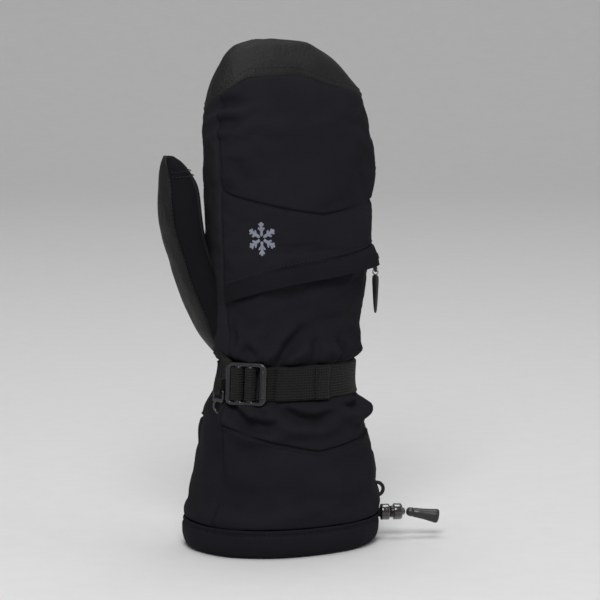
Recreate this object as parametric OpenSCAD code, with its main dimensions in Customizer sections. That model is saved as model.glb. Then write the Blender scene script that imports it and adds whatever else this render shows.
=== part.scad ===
// Right-hand ski mitten with a flared cuff, built up in the layers of the real one.
// Millimetres. +Z runs up to the fingertips, the back of the hand faces -Y, the thumb is on -X,
// and the origin is the middle of the cuff rim.

/* [Mitten] */
// Height from the cuff rim to the fingertips
mitten_h = 334; // [328:1:340]
// Width of the hand at the knuckles
hand_w = 117; // [114:1:120]
// Thickness of the hand at the knuckles
hand_t = 66; // [64:1:68]
// Height of the hem band round the cuff rim
hem_h = 19; // [16:0.5:22]

/* [Layers] */
// Thickness of the outer fabric and leather
shell_t = 1; // [0.8:0.1:1.1]
// Distance from the outer surface to the outside of the padding
padding_out = 2.2; // [2.1:0.1:2.4]
// Distance from the outer surface to the inside of the hand padding
padding_in = 5.6; // [5.2:0.1:5.7]
// Thickness of the waterproof insert
insert_t = 0.4; // [0.3:0.05:0.5]
// Thickness of the fleece lining of the hand
fleece_t = 1.4; // [1:0.1:1.8]

/* [Wrist strap] */
// Width of the strap webbing
webbing_w = 22; // [20:0.5:24]
// Thickness of the strap webbing
webbing_t = 1.4; // [1:0.1:1.6]
// Length of the ladder lock along the strap
lock_l = 27.5; // [25:0.5:30]
// Height of the ladder lock across the strap
lock_h = 28; // [27:0.5:30]
// Thickness of the ladder lock
lock_t = 3.6; // [3:0.2:4]

/* [Zip pocket] */
// Radius of the curve that the zip follows round the back of the hand
zip_r = 87; // [85:0.5:88]
// Position of the parked slider on that curve, in degrees from the middle of the back
zip_park = 34; // [30:1:38]
// Length of the fabric pull tab
pull_l = 25; // [20:1:30]

/* [Cuff cinch] */
// Outer diameter of the cord lock
cord_lock_d = 11; // [10:0.5:12]
// Diameter of the draw cord
cord_d = 2.4; // [2:0.2:3]
// Length of the cord toggle
toggle_l = 22; // [18:1:26]

/* [Hidden] */

kz = mitten_h / 334;
kx = hand_w / 117;
ky = hand_t / 66;
seam = 0.2;
ring_step = 10;
thumb_step = 20;
roundness = 2.2;

// Hand and cuff sections: height, half width, half thickness, middle in X, middle in Y
sections = [
  [0, 63, 52, 0.5, 0], [10, 65, 54, 1, 0], [20, 65, 54, 1.5, 0], [35, 63.5, 52.5, 3.5, 0],
  [65, 58.5, 47, 4, 0], [80, 55.5, 43.5, 3, 0], [92, 53, 40, 3, 0],
  [104, 48, 35.6, 2.8, 0], [123, 46.5, 33, 5, 0], [131, 49, 33.5, 5, 0],
  [146, 51, 34, 5, 0.5], [165, 54, 34.5, 5.5, 1], [190, 58, 34, 8, 1.5], [220, 58.5, 33, 8, 2.5],
  [250, 60.5, 32, 10, 4], [280, 58.4, 28.8, 8, 5.6], [296, 55, 25.5, 7.5, 6.5],
  [307, 49, 22, 5, 7], [317.5, 41.5, 17.5, 3, 7.5], [326, 32.5, 12, -0.5, 8],
  [331, 24.5, 7.5, -2, 8], [334, 8, 2.5, -7, 8]
];
// Thumb sections: height, half width, half depth, middle in X, middle in Y
thumb_sections = [
  [127, 9, 13, -29, 15], [141, 13, 17, -36.5, 14.5], [152, 15, 18.5, -40.5, 14], [165, 15.5, 19, -46.5, 13],
  [180, 14.5, 18.5, -54, 12.5], [195, 12.8, 17.5, -60, 12], [207, 13, 17, -64, 11.5],
  [218, 13.5, 16.5, -66.5, 11], [230, 13.5, 15.5, -68, 10.5], [241, 12.5, 14, -69, 10],
  [250, 10, 11.5, -71.5, 9.5], [257, 7, 8, -74, 9], [261, 3.4, 4.4, -76, 9]
];

function column(t, k, s) = [for (r = t) [r[0] * kz, r[k] * s]];
hand_a = column(sections, 1, kx);
hand_b = column(sections, 2, ky);
hand_x = column(sections, 3, kx);
hand_y = column(sections, 4, ky);
thumb_a = column(thumb_sections, 1, kx);
thumb_b = column(thumb_sections, 2, ky);
thumb_x = column(thumb_sections, 3, kx);
thumb_y = column(thumb_sections, 4, ky);
// Share of a layer's depth by which it is also lowered, near the closed fingertips and thumb tip
hand_drop = [[280 * kz, 0], [296 * kz, 0.25], [307 * kz, 0.55], [317.5 * kz, 0.85], [326 * kz, 1]];
thumb_drop = [[230 * kz, 0], [241 * kz, 0.3], [250 * kz, 0.7], [257 * kz, 1]];

function rounded(v) = sign(v) * pow(abs(v), 2 / roundness);
// Point on the hand or cuff: angle p from the thumb side round by the back, height z, offset o outwards
function on_hand(p, z, o) = [
  lookup(z, hand_x) - (lookup(z, hand_a) + o) * rounded(cos(p)),
  lookup(z, hand_y) - (lookup(z, hand_b) + o) * rounded(sin(p)),
  z + o * lookup(z, hand_drop)
];
function on_thumb(p, z, o) = [
  lookup(z, thumb_x) - (lookup(z, thumb_a) + o) * rounded(cos(p)),
  lookup(z, thumb_y) - (lookup(z, thumb_b) + o) * rounded(sin(p)),
  z + o * lookup(z, thumb_drop)
];
function steps(a, b, s) = [for (i = [0:1:ceil((b - a) / s - 0.001)]) min(b, a + i * s)];

// Closed solid through equal rings of points that run anticlockwise seen from above. It goes up from a bottom
// ring to a top ring, or, with hollow, down the inside first, up the outside and back to the first ring.
module loft(rings, hollow = false) {
  n = len(rings[0]);
  m = len(rings);
  polyhedron(
    points = [for (r = rings) each r],
    faces = [
      if (!hollow) [for (i = [0:n - 1]) i],
      if (!hollow) [for (i = [n - 1:-1:0]) (m - 1) * n + i],
      for (j = [0:hollow ? m - 1 : m - 2]) for (i = [0:n - 1])
        let(k = (j + 1) % m)
        each [
          [j * n + i, k * n + i, k * n + (i + 1) % n],
          [j * n + i, k * n + (i + 1) % n, j * n + (i + 1) % n]
        ]
    ]
  );
}

// Cut-out of the sewn cloth is taken as one mesh, because its curved seams have no simple true surface
module cloth() resize([0, 0, 0]) children();

function heights(o, from, to) = concat(
  from >= 0 ? [from] : [],
  [for (r = sections) if (r[0] * kz > from && r[0] * kz < to && r[2] * ky + o >= 2) r[0] * kz],
  to < 400 ? [to] : []
);
function ring(z, o) = [for (p = [0:ring_step:359]) on_hand(p, z, o)];
// Whole hand or cuff between two heights, grown by o
module hand_solid(o, from = -1, to = 400) loft([for (z = heights(o, from, to)) ring(z, o)]);
// Wall between two depths below the surface, open at the bottom, and at the top unless it is the fingertips
module hand_wall(out, inside, from, to = 400) {
  up = heights(-out, from, to);
  down = heights(-inside, from, to);
  loft(
    concat([for (i = [len(down) - 1:-1:0]) ring(down[i], -inside)], [for (z = up) ring(z, -out)]),
    hollow = to < 400
  );
}
module thumb_solid(o) {
  heights = [for (r = thumb_sections) if (min(r[1] * kx, r[2] * ky) + o >= 1) r[0] * kz];
  loft([for (z = heights) [for (p = [0:thumb_step:359]) on_thumb(p, z, o)]]);
}
// Sheet between two angles and two seams, each seam a height as a function of the angle,
// from offset o0 out to o1
module patch(p0, p1, low, high, o0 = -shell_t, o1 = 0, rows = 6, step = ring_step) {
  angles = concat([p0], [for (k = [ceil((p0 + 1) / step):floor((p1 - 1) / step)]) k * step], [p1]);
  n = len(angles);
  size = n * (rows + 1);
  point = function(i, j, o)
    on_hand(angles[i], low(angles[i]) + (high(angles[i]) - low(angles[i])) * j / rows, o);
  out = function(i, j) j * n + i;
  inn = function(i, j) size + j * n + i;
  quad = function(a, b, c, d) [[a, b, c], [a, c, d]];
  polyhedron(
    points = [for (o = [o1, o0]) for (j = [0:rows]) for (i = [0:n - 1]) point(i, j, o)],
    faces = [
      for (j = [0:rows - 1]) for (i = [0:n - 2]) each concat(
        quad(out(i, j), out(i, j + 1), out(i + 1, j + 1), out(i + 1, j)),
        quad(inn(i, j), inn(i + 1, j), inn(i + 1, j + 1), inn(i, j + 1))
      ),
      for (i = [0:n - 2]) each concat(
        quad(out(i, 0), out(i + 1, 0), inn(i + 1, 0), inn(i, 0)),
        quad(out(i, rows), inn(i, rows), inn(i + 1, rows), out(i + 1, rows))
      ),
      for (j = [0:rows - 1]) each concat(
        quad(inn(0, j), inn(0, j + 1), out(0, j + 1), out(0, j)),
        quad(inn(n - 1, j), out(n - 1, j), out(n - 1, j + 1), inn(n - 1, j + 1))
      )
    ]
  );
}
// Panel of the outer shell, with half a seam's gap on every side
module panel(p0, p1, low, high, rows = 6)
  patch(p0 + seam, p1 - seam, function(p) low(p) + seam, function(p) high(p) - seam, rows = rows);
module strip(p0, p1, low, high, o0, o1, rows = 1) patch(p0, p1, low, high, o0, o1, rows, step = 5);

// Seam lines
back_0 = 20;
back_1 = 170;
palm_1 = 340;
wrist_z = 124 * kz;
function cap_seam(p) = kz * lookup(p, [
  [0, 296], [20, 302], [55, 313], [90, 313.5], [125, 304], [170, 294.5],
  [200, 290.5], [270, 298], [330, 288.4], [340, 289], [360, 296]
]);
function chevron(p) = kz * lookup(p, [[20, 239], [97, 222], [170, 228]]);
function flap_top(p) = kz * lookup(p, [[20, 176], [50, 184], [88, 191], [130, 195.5], [170, 198]]);
function flap_low(p) = kz * lookup(p, [[20, 165], [50, 172.5], [88, 180], [130, 184], [170, 185]]);
function zip_seam(p) = (flap_top(p) + flap_low(p)) / 2 + 2.5;
function cuff_seam(p) = kz * lookup(p, [
  [20, 87], [91, 68], [170, 77.5], [200, 80], [270, 84], [340, 86]
]);
function strap_middle(p) = kz * lookup(p, [
  [0, 122], [20, 117.5], [39, 113.5], [75, 113], [120, 112], [172, 110.5]
]);
level = function(h) function(p) h;

// Outer shell of the hand
module fingertip_cap() color([0.15, 0.15, 0.15]) {
  levels = [0, 0.25, 0.5, 0.7, 0.85, 0.95, 1];
  top = sections[len(sections) - 1][0] * kz;
  inner_top = top - 3 * kz;
  rise = function(to, t, o) [
    for (p = [0:ring_step:359]) on_hand(p, cap_seam(p) + seam + (to - cap_seam(p) - seam) * t, o)
  ];
  loft(concat(
    [for (i = [len(levels) - 1:-1:0]) rise(inner_top, levels[i], -shell_t)],
    [for (t = levels) rise(top, t, 0)]
  ));
}
module back_upper_panel() color([0.13, 0.13, 0.15])
  panel(back_0, back_1, function(p) chevron(p), function(p) cap_seam(p), rows = 8);
module back_mid_panel() color([0.12, 0.12, 0.14])
  panel(back_0, back_1, function(p) zip_seam(p), function(p) chevron(p), rows = 4);
module back_lower_panel() color([0.13, 0.13, 0.15])
  panel(back_0, back_1, function(p) cuff_seam(p), function(p) zip_seam(p), rows = 10);
module side_gusset() color([0.15, 0.15, 0.17]) cloth() difference() {
  panel(palm_1, 360 + back_0, level(wrist_z), function(p) cap_seam(p % 360), rows = 12);
  thumb_solid(-1);
}
module palm_panel() color([0.16, 0.145, 0.15]) cloth() difference() {
  panel(190, palm_1, level(wrist_z), function(p) cap_seam(p), rows = 12);
  thumb_solid(-1);
}
module outer_side_panel() color([0.15, 0.15, 0.17])
  panel(back_1, 190, function(p) cuff_seam(p), function(p) cap_seam(p), rows = 14);
module wrist_palm_panel() color([0.14, 0.14, 0.15])
  panel(190, palm_1, function(p) cuff_seam(p), level(wrist_z), rows = 5);

// Flap that hangs over the zip, sewn along its upper edge and standing off at its lower edge
flap_stand = 8.4;
module pocket_flap() color([0.09, 0.09, 0.1]) cloth() {
  angles = steps(22, 168, 5);
  n = len(angles);
  rise = function(p, k) flap_top(p) + (flap_low(p) - flap_top(p)) * k;
  lift = function(k) flap_stand * pow(k, 0.28);
  loft([for (k = [1, 0.66, 0.33, 0.12, 0]) [
    each [for (p = angles) on_hand(p, rise(p, k), 1.3 + lift(k))],
    each [for (i = [n - 1:-1:0]) on_hand(angles[i], rise(angles[i], k), 0.3 + lift(k))]
  ]]);
}
module pocket_bag() color([0.2, 0.2, 0.2])
  strip(60, 140, level(135 * kz), function(p) zip_seam(p) - 3, -1.9, -1.3, rows = 4);
module emblem_patch() color([0.45, 0.47, 0.52]) cloth() loft([
  for (o = [0.5, 1.1]) [
    for (q = [0:15:345]) on_hand(emblem_p - emblem_r * sin(q) * 0.9, emblem_z - emblem_r * cos(q), o)
  ]
]);
emblem_p = 56;
emblem_z = 208.5 * kz;
emblem_r = 11.2;

// Thumb shell: three panels round the thumb, cut where they meet the hand
module thumb_panel(p0, p1) cloth() intersection() {
  difference() {
    thumb_solid(0);
    thumb_solid(-0.9);
    hand_solid(0.4);
  }
  loft([for (r = concat([[100, 0, 0, -29, 15]], thumb_sections, [[290, 0, 0, -76, 9]])) concat(
    [[r[3] * kx, r[4] * ky, r[0] * kz]],
    [for (p = steps(p0 + 0.5, p1 - 0.5, thumb_step)) [
      r[3] * kx - 45 * cos(p), r[4] * ky - 45 * sin(p), r[0] * kz
    ]]
  )]);
}
module thumb_palm_panel() color([0.16, 0.145, 0.15]) thumb_panel(220, 400);
module thumb_back_panel() color([0.1, 0.1, 0.12]) thumb_panel(40, 120);
module thumb_inner_panel() color([0.14, 0.14, 0.16]) thumb_panel(120, 220);

// Outer shell of the cuff
module cuff_back_panel() color([0.11, 0.11, 0.13])
  panel(back_0, back_1, level(hem_h), function(p) cuff_seam(p), rows = 6);
module cuff_thumb_gusset() color([0.12, 0.12, 0.13])
  panel(palm_1, 360 + back_0, level(hem_h), level(wrist_z), rows = 10);
module cuff_palm_panel() color([0.11, 0.11, 0.13])
  panel(back_1, palm_1, level(hem_h), function(p) cuff_seam(p), rows = 6);
module cuff_hem() color([0.1, 0.1, 0.11]) hand_wall(0, cuff_inside, 0, hem_h - seam);

// Padding, insert and linings
cuff_inside = 5.2;
join_z = 100 * kz;
insert_out = padding_in + 0.3;
insert_in = insert_out + insert_t;
lining_out = insert_in + 0.3;
lining_in = lining_out + fleece_t;
thumb_layers = [1.2, 3, 3.3, 3.7, 4, 5];
module hand_padding() color("white") cloth() difference() {
  hand_wall(padding_out, padding_in, join_z + seam);
  thumb_solid(-1);
}
module thumb_padding() color("white") cloth() difference() {
  thumb_solid(-thumb_layers[0]);
  thumb_solid(-thumb_layers[1]);
  hand_solid(-padding_in - 0.2);
}
module waterproof_insert() color([0.8, 0.8, 0.85]) cloth() difference() {
  union() {
    hand_solid(-insert_out, join_z + seam);
    thumb_solid(-thumb_layers[2]);
  }
  hand_solid(-insert_in, join_z);
  thumb_solid(-thumb_layers[3]);
}
module hand_lining() color([0.3, 0.3, 0.32]) cloth() difference() {
  hand_wall(lining_out, lining_in, join_z + seam);
  thumb_solid(-thumb_layers[3] - 0.15);
}
module thumb_lining() color([0.3, 0.3, 0.32]) cloth() difference() {
  thumb_solid(-thumb_layers[4]);
  thumb_solid(-thumb_layers[5]);
  hand_solid(-lining_in - 0.2);
}
module cuff_padding() color("white")
  hand_wall(padding_out, 3.8, 30, join_z - seam);
module cuff_lining() color([0.2, 0.2, 0.21])
  hand_wall(4.1, cuff_inside, hem_h + seam, join_z - seam);
module wrist_elastic() color([0.5, 0.5, 0.5])
  strip(195, 335, level(106 * kz), level(122 * kz), -1.9, -1.3, rows = 2);
module care_label() color("white") translate([-4, 36.6, 46]) cube([14, 0.6, 33]);

// Zip, on a circle whose axis leans back and to the thumb side
zip_middle = [12, 49, 159.5];
zip_tilt = [-16.7, -11, 0];
zip_from = -16;
zip_to = 40;
zip_lug_z = -8.2;
zip_lug_r = 3.2;
pull_lean = 19.9;
ring_r = 1.9;
ring_wire = 0.8;
module on_zip(angle) translate(zip_middle) rotate(zip_tilt) rotate([0, 0, angle - 90]) children();
module zip_band(from, to, r0, r1, z0, z1)
  on_zip(from) rotate_extrude(angle = to - from, $fn = 96)
    translate([zip_r + r0, z0]) square([r1 - r0, z1 - z0]);
module zip_tape() color([0.1, 0.1, 0.1]) zip_band(zip_from - 3, zip_to + 2, 1, 1.4, -3.4, 2);
module zip_coil() color([0.15, 0.15, 0.15]) zip_band(zip_from, zip_to, 1.5, 2.4, -1.6, 1.6);
module zip_stop(angle) zip_band(angle, angle + 1.2, 1.5, 2.8, -2, 2);
module zip_top_stop() color([0.2, 0.2, 0.2]) zip_stop(zip_to + 0.2);
module zip_bottom_stop() color([0.2, 0.2, 0.2]) zip_stop(zip_from - 1.4);
module at_slider() on_zip(zip_park) translate([zip_r, 0, 0]) children();
module zip_slider() color([0.2, 0.2, 0.21]) at_slider() {
  difference() {
    translate([1.6, -4.5, -2.6]) cube([1.9, 9, 5.2]);
    translate([1.5, -5, -1.8]) cube([1.1, 10, 3.6]);
  }
  difference() {
    union() {
      translate([zip_lug_r - 0.5, -2, zip_lug_z]) cube([1, 4, -2 - zip_lug_z]);
      translate([zip_lug_r - 0.5, 0, zip_lug_z]) rotate([0, 90, 0]) cylinder(d = 4, h = 1, $fn = 48);
    }
    translate([zip_lug_r - 1, 0, zip_lug_z]) rotate([0, 90, 0]) cylinder(d = 2, h = 2, $fn = 48);
  }
}
module at_pull() at_slider() translate([zip_lug_r, 0, zip_lug_z]) rotate([0, pull_lean, 0]) children();
module zip_ring() color([0.5, 0.5, 0.52]) at_pull()
  translate([0, 0, -ring_r]) rotate([90, 0, 0])
    rotate_extrude($fn = 64) translate([ring_r, 0]) circle(d = ring_wire, $fn = 24);
module zip_tab() color([0.12, 0.12, 0.12]) at_pull() translate([0, 0, -2 * ring_r]) {
  difference() {
    translate([-2.5, 0, 0]) rotate([0, 90, 0]) cylinder(d = 3.2, h = 5, $fn = 48);
    translate([0, 0, ring_r]) rotate([90, 0, 0])
      rotate_extrude($fn = 64) translate([ring_r, 0]) circle(d = ring_wire + 0.5, $fn = 24);
  }
  translate([0, 0.9, -1.4]) rotate([90, 0, 0]) linear_extrude(1.8)
    polygon([
      [-2.5, 0], [2.5, 0], [2.2, -8], [1.5, 2 - pull_l], [0.8, -pull_l],
      [-0.8, -pull_l], [-1.5, 2 - pull_l], [-2.2, -8]
    ]);
}

// Wrist strap
strap_o = 0.8;
function strap_low(p) = strap_middle(p) - webbing_w / 2;
function strap_high(p) = strap_middle(p) + webbing_w / 2;
module webbing(p0, p1, o0, o1)
  strip(p0, p1, function(p) strap_low(p), function(p) strap_high(p), o0, o1, rows = 2);
module strap_anchor() color([0.08, 0.08, 0.08]) webbing(2, 20, strap_o, strap_o + webbing_t);
module strap_webbing() color([0.09, 0.09, 0.09]) webbing(49, 172, strap_o, strap_o + webbing_t);
module strap_bartacks() color([0.06, 0.06, 0.06]) {
  webbing(3, 4.5, strap_o + webbing_t + 0.1, strap_o + webbing_t + 0.7);
  webbing(169, 170.5, strap_o + webbing_t + 0.1, strap_o + webbing_t + 0.7);
}
tail_o = strap_o + webbing_t + 0.4;
module strap_tail() color([0.1, 0.1, 0.1]) {
  webbing(64, 103, tail_o, tail_o + webbing_t);
  webbing(93, 103, tail_o + webbing_t + 0.1, tail_o + 2 * webbing_t);
}

// Ladder lock, drawn flat: x along the strap, y up, z outwards
lock_at = [-37.75, -25.95, 113.5];
lock_yaw = -45;
lock_lean = 84;
module at_lock() translate(lock_at) rotate([lock_lean, 0, lock_yaw]) children();
slot_h = webbing_w + 1;
module rounded_block(x, y, t, r) translate([0, 0, -t / 2]) linear_extrude(t) {
  square([x - 2 * r, y], center = true);
  square([x, y - 2 * r], center = true);
  for (i = [-1, 1], j = [-1, 1]) translate([i * (x / 2 - r), j * (y / 2 - r)]) circle(r, $fn = 48);
}
module ladder_lock() color([0.17, 0.17, 0.18]) at_lock() difference() {
  union() {
    rounded_block(lock_l, lock_h, lock_t, 4.5);
    translate([lock_l / 2 - 2.2, 8, lock_t / 2]) rotate([90, 0, 0]) cylinder(d = 2.6, h = 16, $fn = 32);
  }
  for (x = [[-10.6, -7], [-3.6, 0.8], [4.2, 9.4]])
    translate([x[0], -slot_h / 2, -lock_t]) cube([x[1] - x[0], slot_h, 2 * lock_t]);
}
// Webbing that runs up through the right slot, over the middle bar and down the next slot
module strap_weave() color([0.09, 0.09, 0.09]) at_lock()
  translate([0, webbing_w / 2, 0]) rotate([90, 0, 0]) linear_extrude(webbing_w)
    polygon([
      [5, -1.6], [5, 1.9], [4.2, 2.3], [0.4, 2.3], [-0.4, 1.9], [-0.4, -1.6], [-1.6, -1.6],
      [-1.6, 2.4], [-0.2, 3.5], [4.8, 3.5], [6.2, 2.4], [6.2, -1.6]
    ]);

// Clip that holds the pair together, on a webbing loop under the strap
clip_p = 13;
clip_at = on_hand(clip_p, 107.5 * kz, 7);
clip_yaw = -68;
module at_clip() translate(clip_at) rotate([90, 0, clip_yaw]) children();
module clip_loop() color([0.06, 0.06, 0.06]) at_clip() translate([-2.5, 0, 0]) rotate([0, 90, 0])
  linear_extrude(5) difference() {
    union() {
      circle(d = 4.6, $fn = 48);
      translate([-0.4, 0]) square([4.2, 8]);
    }
    circle(d = 2.8, $fn = 48);
  }
module pair_clip() color([0.05, 0.05, 0.05]) at_clip() {
  translate([-4.2, 0, 0]) rotate([0, 90, 0]) cylinder(d = 2, h = 8.4, $fn = 48);
  for (x = [-4.2, 3]) translate([x, -5, -1]) cube([1.2, 5, 2]);
  translate([-4.2, -6.5, -1]) cube([8.4, 1.8, 2]);
  difference() {
    translate([0, -10, -0.9]) cylinder(d = 8.4, h = 1.8, $fn = 64);
    translate([0, -10, -2]) cylinder(d = 5, h = 4, $fn = 64);
    translate([0.6, -11, -2]) cube([5, 2.2, 4]);
  }
}

// Cuff cinch: x runs out from the side of the cuff
cinch_at = [64.2, -21.2, 17.5];
cinch_yaw = -20;
cord_bore = cord_d + 0.8;
button_x = 9.4;
button_end = 15.5;
neck_x = 18.6;
toggle_droop = 11;
module at_cinch() translate(cinch_at) rotate([0, 0, cinch_yaw]) children();
module along_x() rotate([0, 90, 0]) rotate_extrude($fn = 96) children();
module cord_lock_body() color([0.12, 0.11, 0.11]) at_cinch() along_x() polygon([
  [cord_bore / 2, 0.8], [cord_lock_d / 2 - 0.8, 0.8], [cord_lock_d / 2, 1.6], [cord_lock_d / 2, 6.2],
  [cord_lock_d / 2 - 0.8, 7], [4, 7], [4, 12], [cord_bore / 2, 12]
]);
module cord_lock_button() color([0.13, 0.12, 0.12]) at_cinch() along_x() polygon([
  [4.3, button_x], [cord_lock_d / 2 - 0.7, button_x], [cord_lock_d / 2, button_x + 0.7],
  [cord_lock_d / 2, button_end - 1], [cord_lock_d / 2 - 1, button_end], [2.6, button_end],
  [2.3, button_end + 1.7], [cord_bore / 2, button_end + 1.7], [cord_bore / 2, 14.6], [4.3, 14.6]
]);
module drawcord_end() color([0.06, 0.06, 0.06]) at_cinch()
  translate([2, 0, 0]) rotate([0, 90, 0]) cylinder(d = cord_d, h = neck_x - 2.9, $fn = 48);
module cord_toggle() color([0.1, 0.1, 0.11]) at_cinch() translate([neck_x, 0, 0]) rotate([0, toggle_droop, 0])
  along_x() polygon([
    [0, 0.3], [2, 0.3], [2.8, 1.2], [3.1, 4], [3.3, 9], [3.9, 15], [4.7, toggle_l - 1.4],
    [4.7, toggle_l - 0.5], [4.2, toggle_l], [0, toggle_l]
  ]);
module cord_lock_tab() color([0.07, 0.07, 0.07]) at_cinch() difference() {
  translate([-1.2, -4, -2.4]) cube([1.8, 8, 4.8]);
  translate([-3, 0, 0]) rotate([0, 90, 0]) cylinder(d = cord_bore, h = 6, $fn = 48);
}
// Draw cord in its channel between the cuff shell and lining, just above the hem
channel_z = 24.5;
module drawcord_channel() color([0.06, 0.06, 0.06])
  strip(-170, 150, level(channel_z - 1.2), level(channel_z + 1.2), -3.8, -1.4);
module drawcord_loop() color([0.05, 0.05, 0.05])
  translate([63.5, -19.2, 33]) rotate([90, 0, cinch_yaw])
    rotate([0, 0, -90]) rotate_extrude(angle = 180, $fn = 64) translate([4.4, 0]) circle(d = cord_d, $fn = 24);

fingertip_cap();
back_upper_panel();
back_mid_panel();
back_lower_panel();
side_gusset();
palm_panel();
outer_side_panel();
wrist_palm_panel();
pocket_flap();
pocket_bag();
emblem_patch();
thumb_palm_panel();
thumb_back_panel();
thumb_inner_panel();
cuff_back_panel();
cuff_thumb_gusset();
cuff_palm_panel();
cuff_hem();
hand_padding();
thumb_padding();
cuff_padding();
waterproof_insert();
hand_lining();
thumb_lining();
cuff_lining();
wrist_elastic();
care_label();
zip_tape();
zip_coil();
zip_top_stop();
zip_bottom_stop();
zip_slider();
zip_ring();
zip_tab();
strap_anchor();
strap_webbing();
strap_bartacks();
ladder_lock();
strap_weave();
strap_tail();
clip_loop();
pair_clip();
drawcord_channel();
drawcord_loop();
cord_lock_tab();
cord_lock_body();
cord_lock_button();
drawcord_end();
cord_toggle();
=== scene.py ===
"""Ski mitten: the looks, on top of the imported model."""

import math

import bpy
import numpy as np
from mathutils import Matrix, Vector


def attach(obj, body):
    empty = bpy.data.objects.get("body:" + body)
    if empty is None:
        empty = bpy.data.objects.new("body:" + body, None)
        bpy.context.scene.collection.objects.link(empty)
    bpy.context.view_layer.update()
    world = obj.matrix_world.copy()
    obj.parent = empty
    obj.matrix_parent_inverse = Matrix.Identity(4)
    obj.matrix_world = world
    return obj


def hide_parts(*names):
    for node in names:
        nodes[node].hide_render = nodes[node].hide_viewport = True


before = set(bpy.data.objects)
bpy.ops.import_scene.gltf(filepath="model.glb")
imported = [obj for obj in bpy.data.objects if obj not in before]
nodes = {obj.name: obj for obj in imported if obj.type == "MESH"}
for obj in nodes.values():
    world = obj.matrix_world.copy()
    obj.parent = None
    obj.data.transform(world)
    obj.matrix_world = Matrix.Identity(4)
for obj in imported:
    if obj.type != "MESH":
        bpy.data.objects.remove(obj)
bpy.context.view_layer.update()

# ---------------------------------------------------------------- camera
azimuth, elevation, distance = math.radians(-28), math.radians(9), 2.6
back = Vector((math.sin(azimuth) * math.cos(elevation), -math.cos(azimuth) * math.cos(elevation),
               math.sin(elevation)))
target = Vector((0.01227, -0.00652, 0.1627))
camera_data = bpy.data.cameras.new("camera")
camera_data.sensor_width = 36
camera_data.lens = 36 * distance / 0.396
camera_data.clip_end = 50
camera = bpy.data.objects.new("camera", camera_data)
camera.location = target + back * distance
camera.rotation_euler = back.to_track_quat("Z", "Y").to_euler()
bpy.context.scene.collection.objects.link(camera)
bpy.context.scene.camera = camera


# ---------------------------------------------------------------- shapes, in millimetres
def smooth(xs, ys):
    """A smooth curve through the points that never overshoots them."""
    xs, ys = np.array(xs, float), np.array(ys, float)
    h, d = np.diff(xs), np.diff(ys) / np.diff(xs)
    m = np.zeros(len(xs))
    m[1:-1] = np.where(d[:-1] * d[1:] > 0, 2 * d[:-1] * d[1:] / (d[:-1] + d[1:] + 1e-12), 0)
    m[0], m[-1] = d[0], d[-1]

    def at(x):
        x = np.clip(x, xs[0], xs[-1])
        i = np.clip(np.searchsorted(xs, x, side="right") - 1, 0, len(xs) - 2)
        t = (x - xs[i]) / h[i]
        return (ys[i] * (1 + 2 * t) * (1 - t) ** 2 + m[i] * h[i] * t * (1 - t) ** 2
                + ys[i + 1] * t * t * (3 - 2 * t) + m[i + 1] * h[i] * t * t * (t - 1))

    return at


def column(table, i):
    return [row[0] for row in table], [row[i] for row in table]


def loft(sections, drop):
    """A rounded tube through sections [z, half width, half depth, centre x, centre y]."""
    steps = [0]
    for a, b in zip(sections, sections[1:]):
        steps.append(steps[-1] + math.hypot(b[0] - a[0], b[1] - a[1]))
    ks = np.linspace(0, steps[-1], 800)
    zs = smooth(steps, [s[0] for s in sections])(ks)
    curves = [smooth(steps, [s[i] for s in sections]) for i in (1, 2, 3, 4)]
    fall = smooth(*column(drop, 1))

    def at(p, z, o):
        p, z, o = np.broadcast_arrays(np.asarray(p, float), np.asarray(z, float), np.asarray(o, float))
        k = np.interp(z, zs, ks)
        a, b, cx, cy = [c(k) for c in curves]
        c, s = np.cos(np.radians(p)), np.sin(np.radians(p))
        c, s = np.sign(c) * np.abs(c) ** (2 / 2.2), np.sign(s) * np.abs(s) ** (2 / 2.2)
        return np.stack([cx - np.maximum(a + o, 0.05) * c, cy - np.maximum(b + o, 0.05) * s,
                         z + o * fall(z)], -1)

    return at


HAND = [[0, 63, 52, .5, 0], [10, 65, 54, 1, 0], [20, 65, 54, 1.5, 0], [35, 63.5, 52.5, 3.5, 0],
        [65, 58.5, 47, 4, 0], [80, 55.5, 43.5, 3, 0], [92, 53, 40, 3, 0], [104, 48, 35.6, 2.8, 0],
        [123, 46.5, 33, 5, 0], [131, 49, 33.5, 5, 0], [146, 51, 34, 5, .5], [165, 54, 34.5, 5.5, 1],
        [190, 58, 34, 8, 1.5], [220, 58.5, 33, 8, 2.5], [250, 60.5, 32, 10, 4], [280, 58.4, 28.8, 8, 5.6],
        [296, 55, 25.5, 7.5, 6.5], [307, 49, 22, 5, 7], [317.5, 41.5, 17.5, 3, 7.5],
        [326, 32.5, 12, -.5, 8], [331, 24.5, 7.5, -2, 8], [334, 8, 2.5, -7, 8]]
THUMB = [[127, 9, 13, -29, 15], [141, 13, 17, -36.5, 14.5], [152, 15, 18.5, -40.5, 14],
         [165, 15.5, 19, -46.5, 13], [180, 14.5, 18.5, -54, 12.5], [195, 12.8, 17.5, -60, 12],
         [207, 13, 17, -64, 11.5], [218, 13.5, 16.5, -66.5, 11], [230, 13.5, 15.5, -68, 10.5],
         [241, 12.5, 14, -69, 10], [250, 10, 11.5, -71.5, 9.5], [257, 7, 8, -74, 9], [261, 3.4, 4.4, -76, 9]]
on_hand = loft(HAND, [[0, 0], [280, 0], [296, .25], [307, .55], [317.5, .85], [326, 1], [340, 1]])
on_thumb = loft(THUMB, [[120, 0], [230, 0], [241, .3], [250, .7], [257, 1], [300, 1]])


def along(*points):
    """A seam height that runs straight between the points (angle, height)."""
    xs, ys = zip(*points)
    return lambda p: np.interp(p, xs, ys)


def level(z):
    return lambda p: np.full(np.shape(p), float(z))


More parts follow.
